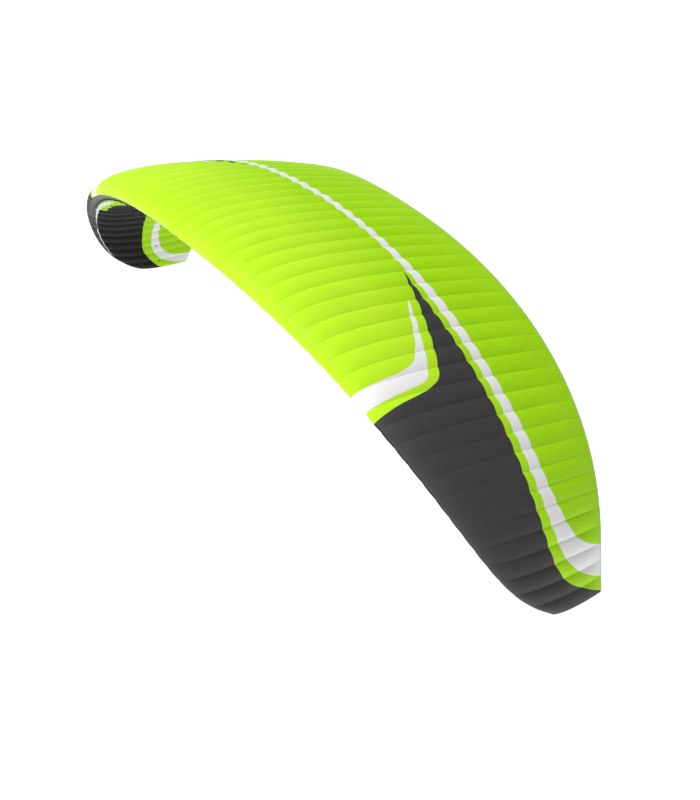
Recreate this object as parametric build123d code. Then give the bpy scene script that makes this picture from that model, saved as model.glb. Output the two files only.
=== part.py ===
"""Ram-air canopy: 54 fabric cells over an arched wing, with brake flaps and folding wing tips.

Millimetres, +Z up, +X along the span to the wing's left, the leading edge facing -Y.
The origin is the eye of the centre rib's front line loop.
"""

from build123d import *
import os
from math import cos, radians, sin, sqrt

# Planform and arch
half_span = 5600            # centre rib to tip rib, measured along the arch
root_chord = 2920
cells_per_side = 27
tip_chord_ratio = 0.294     # tip chord over root chord
planform_power = 2.6        # how late the chord starts to shrink
planform_roundness = 0.82   # how round the last part of the planform is
edge_power = 24             # the rounding that only the outermost cells show
lean_terms = ((36.4, 1), (34.8, 2), (7, 4))               # degrees of lean, power of the span share
sweep_terms = ((0.475, 2), (0.093, 6), (0.099, edge_power))   # leading edge moved aft, in root chords
tip_chord_cut = 0.034       # further loss of chord at the very tip, in root chords
tip_twist = 4.8             # degrees of nose-up twist at the tip
cell_taper = ((0.139, 2), (0.07, 8))     # how much narrower the outer cells are, power of the rib's place

# Wing section, as shares of the chord
section_thickness = 0.153
trailing_half_depth = 4     # half the depth of the closed trailing edge
intake_top = 0.008          # lower end of the nose panel, under the nose
intake_bottom = 0.038       # front edge of the lower skin
nose_seam = 0.06            # upper seam between nose panel and upper skin
hinge_share = 0.78          # where the brake flaps bend
hinge_gap = 0.0012          # half the gap at that bend
tape_start = 0.992          # front of the trailing tape
rib_end = 0.95              # ribs stop here, short of the tape
end_panel_end = 0.999       # the end panel stops just short of a knife edge
batten_end = 0.13           # nose battens run from intake_top round the nose to here
lip_tape_rear = 0.044       # the tape on the lower skin's front edge runs from intake_bottom to here
deepest_place = 0.30        # where the section is deepest

# Cloth and small parts, in millimetres
skin = 2.0
rib_sheet = 1.5
rib_inset = 3.5             # from the outer skin surface to a rib's edge
seam_gap = 2.0              # clear space kept beside each rib sheet
strap_width = 25
strap_sheet = 1.2
strap_inset = 7.5           # from the outer skin surface
diagonal_sheet = 2.4
diagonal_half_width = 0.035 # of the chord
diagonal_foot_inset = 6.5
diagonal_head_inset = 11    # clear of the battens
batten_width = 4
batten_sheet = 2.5
batten_inset = 5.5
batten_clearance = 0.3      # between a batten and its rib
lip_tape_sheet = 1
lip_tape_clearance = 0.6    # between the tape and the skin it is sewn to
loop_hole_radius = 5.0
loop_wall = 1.8
loop_length = 12
loop_drop = 16              # from the lower skin to the centre of a loop's eye
loop_tab = 2.4

# Where things are
loop_rows = {"a": 0.10, "b": 0.28, "c": 0.52}             # line loops, as shares of the chord
strap_place = 0.60                                        # cross straps, behind the last line row
brake_eye_place = 0.996
port_places = (0.11, 0.22, 0.34, 0.47, 0.60, 0.71)        # cross ports in each rib
port_half_length = 0.032    # of the chord
port_depth = 0.55           # of the rib's depth there
loaded_step = 3             # every third rib carries lines
fold_rib = 21               # the wing tips fold outboard of this rib
fold_gap = 0.03             # the wing tip starts this part of a cell further out
flap_first = 5
flap_cells = 4
flap_count = 4
brake_travel = 35           # degrees
ear_travel = 60             # degrees
swing_margin = 13           # kept between two flaps at full travel
hinge_rib_gap = 0.0036      # from the bend to the end of a rib, as a share of the chord

side_names = {1: "left", -1: "right"}


def share_at(rib):
    """Share of the half span at a rib number, which may lie between two ribs."""
    place = abs(rib) / cells_per_side
    narrowed = sum(amount * place ** (power + 1) / (power + 1) for amount, power in cell_taper)
    whole = 1 - sum(amount / (power + 1) for amount, power in cell_taper)
    return (place - narrowed) / whole


def lean_at(share):
    return sum(angle * share**power for angle, power in lean_terms)


def chord_at(share):
    round_part = (1 - share**planform_power) ** planform_roundness
    blended = tip_chord_ratio + (1 - tip_chord_ratio) * round_part
    return root_chord * (blended - tip_chord_cut * share**edge_power)


def sweep_at(share):
    return root_chord * sum(amount * share**power for amount, power in sweep_terms)


def arch_point(share, steps=60):
    """Place across and down the arch, from the lean added up along it."""
    across, down = 0.0, 0.0
    for step in range(steps):
        lean = radians(lean_at(share * (step + 0.5) / steps))
        across += cos(lean) * share * half_span / steps
        down += sin(lean) * share * half_span / steps
    return across, -down


def section(along, chord, inset=0.0):
    """A point of the wing section. along is the root of the chord share, negative underneath."""

    def raw(value):
        share = value * value
        half = 5 * section_thickness * (
            0.2969 * abs(value) - 0.126 * share - 0.3516 * share**2 + 0.2843 * share**3 - 0.1036 * share**4
        )
        height = half * chord + trailing_half_depth * share
        return share * chord, height if value >= 0 else -height

    x, y = raw(along)
    if inset == 0:
        return x, y
    nearby = 1e-4
    x0, y0 = raw(along - nearby)
    x1, y1 = raw(along + nearby)
    length = sqrt((x1 - x0) ** 2 + (y1 - y0) ** 2)
    return x + inset * (y1 - y0) / length, y - inset * (x1 - x0) / length


datum_x, datum_y = section(-sqrt(loop_rows["a"]), root_chord)
datum = Vector(0, datum_x, datum_y - loop_drop)


def rib_plane(rib, shift=0.0):
    """The plane of a rib: X along the chord, Y up out of the wing, Z towards the left tip."""
    share = share_at(rib)
    side = 1 if rib >= 0 else -1
    across, down = arch_point(share)
    lean = radians(lean_at(share)) * side
    twist = radians(tip_twist) * share**2
    along = Vector(cos(lean), 0, -sin(lean))
    up = Vector(sin(lean), 0, cos(lean))
    back = Vector(0, 1, 0) * cos(twist) - up * sin(twist)
    place = Vector(across * side, sweep_at(share), down) + along * shift
    return Plane(place - datum, x_dir=back, z_dir=along)


def band_points(rib, first, last, inset, count):
    """Points of the section between two values of along."""
    chord = chord_at(share_at(rib))
    return [section(first + (last - first) * n / (count - 1), chord, inset) for n in range(count)]


def band_face(rib, first, last, outer=0.0, inner=skin, count=12, shift=0.0):
    """A strip of cloth seen end on, in a rib's plane."""
    plane = rib_plane(rib, shift)
    outside = [plane.from_local_coords((x, y, 0)) for x, y in band_points(rib, first, last, outer, count)]
    inside = [plane.from_local_coords((x, y, 0)) for x, y in band_points(rib, first, last, inner, count)]
    edges = [
        Edge.make_spline(outside),
        Edge.make_line(outside[-1], inside[-1]),
        Edge.make_spline(inside[::-1]),
        Edge.make_line(inside[0], outside[0]),
    ]
    return Face(Wire(edges))


def panel(rib_a, rib_b, first, last, **sizes):
    """One cell's cloth between two ribs, straight across from rib to rib."""
    return loft([band_face(rib_a, first, last, **sizes), band_face(rib_b, first, last, **sizes)], ruled=True)


def quad_face(rib, corners, shift=0.0):
    plane = rib_plane(rib, shift)
    points = [plane.from_local_coords(Vector(x, y, 0)) for x, y in corners]
    return Face(Wire.make_polygon(points, close=True))


def rib_outline(rib, first, last, inset, count=22):
    """A rib's closed outline from one share of the chord to another."""
    chord = chord_at(share_at(rib))
    low, high = sqrt(first), sqrt(last)
    if first == 0:
        return [[section(-high + high * n / count, chord, inset) for n in range(2 * count + 1)]]
    top = [section(low + (high - low) * n / count, chord, inset) for n in range(count + 1)]
    bottom = [section(-high + (high - low) * n / count, chord, inset) for n in range(count + 1)]
    return [top, bottom]


def rib_sheet_solid(rib, first=0.0, last=rib_end, inset=rib_inset, sheet=rib_sheet, ports=True, shift=0.0):
    """A flat rib with its cross ports, cut from one sheet."""
    runs = rib_outline(rib, first, last, inset)
    with BuildSketch(rib_plane(rib, shift - sheet / 2)) as sketch:
        with BuildLine():
            for run in runs:
                Spline(*run)
            Line(runs[0][-1], runs[-1][0])
            if len(runs) == 2:
                Line(runs[1][-1], runs[0][0])
        make_face()
        if ports:
            chord = chord_at(share_at(rib))
            for place in port_places:
                if place > last:
                    continue
                half_depth = section(sqrt(place), chord)[1]
                with Locations((place * chord, 0)):
                    Ellipse(port_half_length * chord, port_depth * half_depth, mode=Mode.SUBTRACT)
    return extrude(sketch.sketch, amount=sheet)


def batten(rib):
    """The curved plastic strip that holds the nose of a rib in shape, on the rib's inboard side."""
    inboard = -1 if rib > 0 else 1
    shift = inboard * (rib_sheet / 2 + batten_clearance + batten_sheet / 2)
    sizes = {"outer": batten_inset, "inner": batten_inset + batten_width, "shift": shift}
    face = band_face(rib, -sqrt(intake_top), sqrt(batten_end), **sizes)
    return extrude(face, amount=batten_sheet / 2, both=True)


def diagonal_rib(loaded_rib, rib_beside, place):
    """Cloth from a loaded rib's foot up to the head of the rib beside it."""
    towards = 1 if rib_beside > loaded_rib else -1
    wires = []
    for rib, sign, inset in ((loaded_rib, -1, diagonal_foot_inset), (rib_beside, 1, diagonal_head_inset)):
        chord = chord_at(share_at(rib))
        front_x, front_y = section(sign * sqrt(place - diagonal_half_width), chord, inset)
        rear_x, rear_y = section(sign * sqrt(place + diagonal_half_width), chord, inset)
        low = -diagonal_sheet if sign > 0 else 0
        lower = [(front_x, front_y + low), (rear_x, rear_y + low)]
        upper = [(x, y + diagonal_sheet) for x, y in lower[::-1]]
        wires.append(quad_face(rib, lower + upper, -sign * towards * seam_gap).outer_wire())
    return Solid.make_loft(wires, ruled=True)


def strap(rib_a, rib_b, place):
    """A tension strap just above the lower skin, between two neighbouring ribs."""
    faces = []
    for rib, shift in ((rib_a, seam_gap), (rib_b, -seam_gap)):
        chord = chord_at(share_at(rib))
        x, y = section(-sqrt(place), chord, strap_inset)
        half = strap_width / 2
        corners = [(x - half, y), (x + half, y), (x + half, y + strap_sheet), (x - half, y + strap_sheet)]
        faces.append(quad_face(rib, corners, shift))
    return Solid.make_loft([faces[0].outer_wire(), faces[1].outer_wire()], ruled=True)


def tape(rib_a, rib_b):
    """The folded tape that closes the trailing edge of one cell."""
    faces = []
    for rib in (rib_a, rib_b):
        chord = chord_at(share_at(rib))
        x0, y0 = section(sqrt(tape_start), chord)
        x1, y1 = section(1, chord)
        faces.append(quad_face(rib, [(x0, -y0), (x1, -y1), (x1, y1), (x0, y0)]))
    return Solid.make_loft([faces[0].outer_wire(), faces[1].outer_wire()], ruled=True)


def line_loop(rib, place, under_tape=False):
    """A sewn eye of webbing under a rib, its hole running along the chord."""
    chord = chord_at(share_at(rib))
    x, y = section(-sqrt(place), chord)
    plane = rib_plane(rib)
    eye = plane.from_local_coords(Vector(x, y - loop_drop, 0))
    outer = loop_hole_radius + loop_wall
    across = Plane(eye, x_dir=plane.z_dir, z_dir=plane.x_dir)
    washer = across * Circle(outer) - across * Circle(loop_hole_radius)
    ring = extrude(washer, amount=loop_length / 2, both=True)
    start = loop_hole_radius + loop_wall / 4
    height = loop_drop + (0 if under_tape else skin) - start
    tab_centre = plane.from_local_coords(Vector(x, y - loop_drop + start + height / 2, 0))
    tab = Plane(tab_centre, x_dir=plane.x_dir, z_dir=plane.z_dir) * Box(loop_length, height, loop_tab)
    return ring.fuse(tab).clean()


def hinge_line(rib_a, rib_b):
    """Two points just under the lower skin at the flap bend."""
    ends = []
    for rib in (rib_a, rib_b):
        x, y = section(-sqrt(hinge_share), chord_at(share_at(rib)), -skin)
        ends.append(rib_plane(rib).from_local_coords(Vector(x, y, 0)))
    return ends


def turned(point, ends, angle):
    """A point after the flap has turned about its bend line."""
    reach = point - ends[0]
    return ends[0] + reach.rotate(Axis(Vector(0, 0, 0), ends[1] - ends[0]), angle)


def end_gap(border, ends, sign, angle):
    """How far a flap's end must stand back at the trailing edge, so that it stays on its own side."""
    plane = rib_plane(border)
    chord = chord_at(share_at(border))
    reach = 0.0
    for high in (1, -1):
        corner = plane.from_local_coords(Vector(*section(high, chord), 0))
        for part in (0.5, 1.0):
            moved = plane.to_local_coords(turned(corner, ends, angle * part))
            reach = max(reach, -sign * moved.Z)
    return reach + swing_margin


def trim_plane(border, sign, gap):
    """The slanted end of a flap: half the margin at the bend, gap at the trailing edge."""
    plane = rib_plane(border)
    chord = chord_at(share_at(border))
    near = Vector(chord * hinge_share, 0, sign * swing_margin / 2)
    slope = Vector(chord, 0, sign * gap) - near
    normal = Vector(0, -sign, 0).cross(slope)
    return Plane(plane.from_local_coords(near), z_dir=plane.x_dir * normal.X + plane.z_dir * normal.Z)


def kept(shape, plane):
    """What is left of a shape in front of a plane, or all of it without one."""
    return split(shape, bisect_by=plane, keep=Keep.TOP) if plane else shape


nodes = {}
joints = []


def add(name, solids):
    nodes.setdefault(name, []).extend(solids)


# Root body: nose panels, skins, ribs and what is sewn inside
over_nose = (-sqrt(intake_top), sqrt(nose_seam))
over_top = (sqrt(nose_seam), sqrt(hinge_share - hinge_gap))
over_top_full = (sqrt(nose_seam), sqrt(tape_start))
underside = (-sqrt(hinge_share - hinge_gap), -sqrt(intake_bottom))
underside_full = (-sqrt(tape_start), -sqrt(intake_bottom))
lip_tape = (-sqrt(lip_tape_rear), -sqrt(intake_bottom))
lip_tape_inset = skin + lip_tape_clearance
flap_last = flap_first + flap_cells * flap_count

for cell in range(-fold_rib, fold_rib):
    middle = cell + 0.5
    side = side_names[1 if middle > 0 else -1]
    has_flap = flap_first < abs(middle) < flap_last
    if abs(middle) < flap_first:
        zone, half = "centre", "centre"
    elif abs(middle) < flap_first + 2 * flap_cells:
        zone, half = "mid_" + side, side
    else:
        zone, half = "outer_" + side, side
    add("nose_panels_" + half, [panel(cell, cell + 1, *over_nose)])
    add("upper_skin_" + zone, [panel(cell, cell + 1, *(over_top if has_flap else over_top_full))])
    add("lower_skin_" + half, [panel(cell, cell + 1, *(underside if has_flap else underside_full))])
    add("cross_straps", [strap(cell, cell + 1, strap_place)])
    sizes = {"outer": lip_tape_inset, "inner": lip_tape_inset + lip_tape_sheet, "count": 4}
    add("intake_tape", [panel(cell, cell + 1, *lip_tape, **sizes)])
    if not has_flap:
        add("trailing_tape", [tape(cell, cell + 1)])

for rib in range(-fold_rib, fold_rib + 1):
    inside_flaps = flap_first <= abs(rib) <= flap_last
    end = hinge_share - hinge_rib_gap if inside_flaps else rib_end
    loaded = rib % loaded_step == 0
    add("loaded_ribs" if loaded else "free_ribs", [rib_sheet_solid(rib, last=end)])
    add("nose_battens", [batten(rib)])
    if loaded:
        for row, place in loop_rows.items():
            add(row + "_line_loops", [line_loop(rib, place)])
            for beside in (rib - 1, rib + 1):
                if abs(beside) <= fold_rib:
                    add("diagonal_ribs", [diagonal_rib(rib, beside, place)])

# Wing tips, which fold under
for sign, side in side_names.items():
    stations = [fold_rib + fold_gap] + list(range(fold_rib + 1, cells_per_side + 1))
    for a, b in zip(stations, stations[1:]):
        inner_rib, outer_rib = sorted((sign * a, sign * b))
        whole_top = panel(inner_rib, outer_rib, -sqrt(intake_bottom), sqrt(tape_start), count=20)
        add("upper_skin_tip_" + side, [whole_top])
        add("lower_skin_tip_" + side, [panel(inner_rib, outer_rib, *underside_full)])
        add("trailing_tape_tip_" + side, [tape(inner_rib, outer_rib)])
    for rib in range(fold_rib + 1, cells_per_side):
        add("ribs_tip_" + side, [rib_sheet_solid(sign * rib)])
        add("nose_battens_tip_" + side, [batten(sign * rib)])
    sizes = {"last": end_panel_end, "inset": 0, "sheet": skin, "shift": sign * skin / 2}
    add("end_panel_" + side, [rib_sheet_solid(sign * cells_per_side, ports=False, **sizes)])
    for rib in (fold_rib + loaded_step, cells_per_side - 1):
        add("line_loops_tip_" + side, [line_loop(sign * rib, place) for place in loop_rows.values()])
    fold_plane = rib_plane(sign * fold_rib)
    fold_chord = chord_at(share_at(fold_rib))
    lowest = section(-sqrt(deepest_place), fold_chord, -skin)[1]
    fold_ends = [fold_plane.from_local_coords(Vector(x, lowest, 0)) for x in (0, fold_chord)]
    joints.append(("ear_" + side, fold_ends, sign * ear_travel))

# Brake flaps, each with its own straight bend line
flap_top = (sqrt(hinge_share + hinge_gap), sqrt(tape_start))
flap_under = (-sqrt(tape_start), -sqrt(hinge_share + hinge_gap))
for sign, side in side_names.items():
    for number in range(1, flap_count + 1):
        first = sign * (flap_first + flap_cells * (number - 1))
        last = sign * (flap_first + flap_cells * number)
        low, high = min(first, last), max(first, last)
        ends = hinge_line(low, high)
        end_cells = {low: (low, 1), high - 1: (high, -1)}
        cuts = {}
        for cell, (border, inward) in end_cells.items():
            gap = end_gap(border, ends, inward, -brake_travel)
            cuts[cell] = trim_plane(border, inward, gap)
        name = f"flap_{side}_{number}"
        for cell in range(low, high):
            cloth = [panel(cell, cell + 1, *flap_top), panel(cell, cell + 1, *flap_under)]
            add(name + "_skins", [kept(piece, cuts.get(cell)) for piece in cloth])
            add(name + "_tape", [kept(tape(cell, cell + 1), cuts.get(cell))])
        for rib in range(low + 1, high):
            tail = rib_sheet_solid(rib, first=hinge_share + hinge_rib_gap, ports=False)
            add(name + "_rib_tails", [tail])
        add(name + "_tape", [line_loop((low + high) // 2, brake_eye_place, under_tape=True)])
        joints.append((name, ends, -brake_travel))

os.makedirs("parts", exist_ok=True)
for name, solids in nodes.items():
    flat = [solid for shape in solids for solid in shape.solids()]
    whole = Compound(children=flat, label=name)
    export_step(whole, f"parts/{name}.step")
print(len(nodes), "nodes")
for name, ends, travel in joints:
    axis = (ends[1] - ends[0]).normalized()
    print("joint", name, [round(v / 1000, 5) for v in ends[0]], [round(v, 5) for v in axis], travel)
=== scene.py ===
import math

import bmesh
import bpy
import numpy as np
from mathutils import Matrix, Vector
from mathutils.geometry import tessellate_polygon


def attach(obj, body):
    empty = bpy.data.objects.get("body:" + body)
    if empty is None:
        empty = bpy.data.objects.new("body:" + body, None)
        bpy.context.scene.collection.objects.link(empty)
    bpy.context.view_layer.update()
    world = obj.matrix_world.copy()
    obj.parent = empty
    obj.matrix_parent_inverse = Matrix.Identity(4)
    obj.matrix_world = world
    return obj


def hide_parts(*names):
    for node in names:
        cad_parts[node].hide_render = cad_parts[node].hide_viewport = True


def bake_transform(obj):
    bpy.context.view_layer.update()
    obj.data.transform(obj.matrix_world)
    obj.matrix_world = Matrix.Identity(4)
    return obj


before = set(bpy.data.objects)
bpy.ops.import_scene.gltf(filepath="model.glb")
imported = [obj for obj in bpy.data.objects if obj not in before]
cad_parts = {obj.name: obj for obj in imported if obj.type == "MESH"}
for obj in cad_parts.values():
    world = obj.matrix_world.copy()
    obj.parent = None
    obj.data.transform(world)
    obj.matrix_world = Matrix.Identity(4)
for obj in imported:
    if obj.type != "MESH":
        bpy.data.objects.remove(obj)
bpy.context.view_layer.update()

print("frame loaded,", len(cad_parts), "nodes")

# ---- the wing's rule: the same planform, arch and section as the CAD frame, in metres

wing = {
    "halfSpan": 5.6,
    "rootChord": 2.92,
    "cellsPerSide": 27,
    "tipChordRatio": 0.294,
    "planformPower": 2.6,
    "planformRoundness": 0.82,
    "edgePower": 24,
    "lean": ((36.4, 1), (34.8, 2), (7, 4)),  # degrees, power of the span share
    "sweep": ((0.475, 2), (0.093, 6), (0.099, 24)),
    "tipChordCut": 0.034,
    "tipTwist": 4.8,
    "cellTaper": ((0.139, 2), (0.07, 8)),
    "thickness": 0.153,
    "trailingHalfDepth": 0.004,
    "frontLoop": 0.10,
    "loopDrop": 0.016,
}

# where panels and flaps begin and end, as shares of the chord
layout = {
    "intakeTop": 0.008,
    "intakeBottom": 0.038,
    "noseSeam": 0.06,
    "tape": 0.992,
    "flapCut": 0.70,  # the flaps' cloth starts here; the next two numbers mark where a bend would run, though no piece is bent
    "bendStart": 0.715,
    "bendEnd": 0.86,
    "ribEnd": 0.95,
    "deepest": 0.3,
    "foldRib": 21,
    "foldEnd": 23,
    "flapFirst": 5,
    "flapCells": 4,
    "flapCount": 4,
}

sides = {1: "left", -1: "right"}
wholeTaper = 1 - sum(amount / (power + 1) for amount, power in wing["cellTaper"])


def shareAt(rib):
    place = np.abs(rib) / wing["cellsPerSide"]
    narrowed = sum(amount * place ** (power + 1) / (power + 1) for amount, power in wing["cellTaper"])
    return (place - narrowed) / wholeTaper


def leanAt(share):
    return sum(angle * share**power for angle, power in wing["lean"])


def chordAt(share):
    roundPart = (1 - np.clip(share, 0, 1) ** wing["planformPower"]) ** wing["planformRoundness"]
    blended = wing["tipChordRatio"] + (1 - wing["tipChordRatio"]) * roundPart
    return wing["rootChord"] * (blended - wing["tipChordCut"] * share ** wing["edgePower"])


def sweepAt(share):
    return wing["rootChord"] * sum(amount * share**power for amount, power in wing["sweep"])


archSteps = 2000
archShare = np.linspace(0, 1, archSteps + 1)
archMiddle = (archShare[1:] + archShare[:-1]) / 2
archLean = np.radians(leanAt(archMiddle))
archAcross = np.concatenate([[0], np.cumsum(np.cos(archLean))]) * wing["halfSpan"] / archSteps
archDown = -np.concatenate([[0], np.cumsum(np.sin(archLean))]) * wing["halfSpan"] / archSteps


def section(along, chord, inset=0.0):
    # along is the root of the chord share, negative underneath
    def raw(value):
        share = value * value
        bulge = 0.2969 * np.abs(value) - 0.126 * share - 0.3516 * share**2
        half = 5 * wing["thickness"] * (bulge + 0.2843 * share**3 - 0.1036 * share**4)
        height = (half * chord + wing["trailingHalfDepth"] * share) * np.where(value >= 0, 1, -1)
        return share * chord, height

    step = 1e-4
    x, y = raw(along)
    x0, y0 = raw(along - step)
    x1, y1 = raw(along + step)
    length = np.hypot(x1 - x0, y1 - y0)
    normalX, normalY = -(y1 - y0) / length, (x1 - x0) / length
    return x - inset * normalX, y - inset * normalY, normalX, normalY


def ribAxes(rib):
    rib = np.asarray(rib, float)
    share = shareAt(rib)
    side = np.where(rib >= 0, 1.0, -1.0)
    lean = np.radians(leanAt(share)) * side
    twist = np.radians(wing["tipTwist"]) * share**2
    zero = np.zeros_like(lean)
    along = np.stack([np.cos(lean), zero, -np.sin(lean)], -1)
    up = np.stack([np.sin(lean), zero, np.cos(lean)], -1)
    back = np.stack([zero, zero + 1, zero], -1) * np.cos(twist)[..., None] - up * np.sin(twist)[..., None]
    normal = np.cross(along, back)
    place = np.stack([
        np.interp(share, archShare, archAcross) * side,
        sweepAt(share),
        np.interp(share, archShare, archDown),
    ], -1)
    return place - datum, back, normal, along, chordAt(share)


datum = np.zeros(3)
loopX, loopY, _, _ = section(-math.sqrt(wing["frontLoop"]), wing["rootChord"])
datum = np.array([0.0, float(loopX), float(loopY) - wing["loopDrop"]])


def wingPoint(rib, along, inset=0.0):
    # the point and the outward direction at a rib number and a place on the section
    place, back, normal, _, chord = ribAxes(rib)
    x, y, normalX, normalY = section(np.asarray(along, float), chord, inset)
    point = place + back * x[..., None] + normal * y[..., None]
    outward = back * normalX[..., None] + normal * normalY[..., None]
    return point, outward


# ---- shader helpers: one class for sums on sockets, one method for every other node


class Value:
    def __init__(self, shader, socket):
        self.shader = shader
        self.socket = socket

    def math(self, operation, other=None, flip=False):
        inputs = [other, self] if flip else [self, other]
        values = {n: v for n, v in enumerate(inputs) if v is not None}
        return self.shader.node("ShaderNodeMath", {"operation": operation}, values)["Value"]

    def __add__(self, other):
        return self.math("ADD", other)

    def __radd__(self, other):
        return self.math("ADD", other)

    def __sub__(self, other):
        return self.math("SUBTRACT", other)

    def __rsub__(self, other):
        return self.math("SUBTRACT", other, flip=True)

    def __mul__(self, other):
        return self.math("MULTIPLY", other)

    def __rmul__(self, other):
        return self.math("MULTIPLY", other)

    def __truediv__(self, other):
        return self.math("DIVIDE", other)

    def __gt__(self, other):
        return self.math("GREATER_THAN", other)

    def __lt__(self, other):
        return self.math("LESS_THAN", other)

    def __abs__(self):
        return self.math("ABSOLUTE")

    def __mod__(self, other):
        return self.math("FLOORED_MODULO", other)

    def floor(self):
        return self.math("FLOOR")

    def sin(self):
        return self.math("SINE")

    def clamp(self):
        return self.math("MAXIMUM", 0.0).math("MINIMUM", 1.0)


class Made:
    def __init__(self, shader, made):
        self.shader = shader
        self.made = made

    def __getitem__(self, name):
        return Value(self.shader, self.made.outputs[name])


class Shader:
    def __init__(self, name):
        self.material = bpy.data.materials.new(name)
        self.material.use_nodes = True
        self.tree = self.material.node_tree
        self.tree.nodes.clear()

    def node(self, kind, settings=None, inputs=None):
        made = self.tree.nodes.new(kind)
        for key, value in (settings or {}).items():
            if key == "points":
                curve = made.mapping.curves[0]
                while len(curve.points) < len(value):
                    curve.points.new(0.5, 0.5)
                for point, (x, y) in zip(curve.points, value):
                    point.location = (x, y)
                    point.handle_type = "AUTO_CLAMPED"
                made.mapping.update()
            else:
                setattr(made, key, value)
        for key, value in (inputs or {}).items():
            socket = made.inputs[key]
            if isinstance(value, Value):
                self.tree.links.new(value.socket, socket)
            else:
                socket.default_value = value
        return Made(self, made)

    def mix(self, factor, low, high):
        colours = {6: self.colour(low), 7: self.colour(high), 0: factor}
        return Value(self, self.node("ShaderNodeMix", {"data_type": "RGBA"}, colours).made.outputs[2])

    def colour(self, value):
        return value if isinstance(value, Value) else (*value, 1)

    def curve(self, value, points, xMax, yMax):
        # a border drawn through given points: points are in the pattern's own units
        scaled = [(x / xMax, y / yMax) for x, y in points]
        drawn = self.node("ShaderNodeFloatCurve", {"points": scaled}, {"Value": value / xMax})["Value"]
        return drawn * yMax

    def split(self, vector):
        made = self.node("ShaderNodeSeparateXYZ", None, {"Vector": vector})
        return made["X"], made["Y"], made["Z"]

    def finish(self, colour, roughness, height=None, strength=0.3, distance=0.001, fixed=None):
        inputs = {"Base Color": colour, "Roughness": roughness}
        if height is not None:
            relief = {"Height": height, "Strength": strength, "Distance": distance}
            inputs["Normal"] = self.node("ShaderNodeBump", None, relief)["Normal"]
        inputs.update(fixed or {})
        surface = self.node("ShaderNodeBsdfPrincipled", None, inputs)
        self.node("ShaderNodeOutputMaterial", None, {"Surface": surface["BSDF"]})
        return self.material


# ---- cloth and trim finishes

clothLook = {
    "lime": (0.50, 0.84, 0.02),
    "aftLime": (0.365, 0.73, 0.003),  # painted shade: the cloth behind the stripe is darkened where the rear of the wing turns from the light
    "white": (0.82, 0.82, 0.82),
    "black": (0.047, 0.047, 0.048),
    # painted shade: the underside's lime, white and black are darker copies, standing in for the shade under
    # the wing
    "underLime": (0.24, 0.46, 0.003),
    "underWhite": (0.52, 0.52, 0.53),
    "underBlack": (0.004, 0.004, 0.0042),
    "gloss": 0.14,
    "underGloss": 0.04,
    "seamWidth": 0.0022,  # metres either side of a seam
    # painted shade: how dark the seam line is, partly the seam's own line and partly shade in the crease
    "creaseShare": 0.25,
    "stitchOffset": 0.006,
    "stitchHalfWidth": 0.0008,
    "stitchesPerMetre": 160.0,
    "stitchShare": 0.08,
    "cellAcross": 0.2,  # metres across a usual cell
    "ripstop": 0.006,
    "threadEdge": 0.93,  # the part of each wave that is thread
    "yarnsPerSquare": 12.0,
    "roughness": 0.5,
}

# how the pattern is laid out: shares of the chord and rib numbers
pattern = {
    "topRib": 30.0,
    "blackFrom": 7.0,
    # painted shade: where the lime starts darkening towards the rear, and how fast
    "aftFrom": 0.3,
    "aftRate": 3.0,
    # painted shade: how fast the darkening round the nose fades, and how strong it is
    "noseRate": 9.0,
    "noseShare": 0.5,
    "chevronEnd": 0.484,
    "stripeFrom": 13.0,
    "stripEnd": 16.6,
    "stripWidth": 0.035,
}

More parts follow.
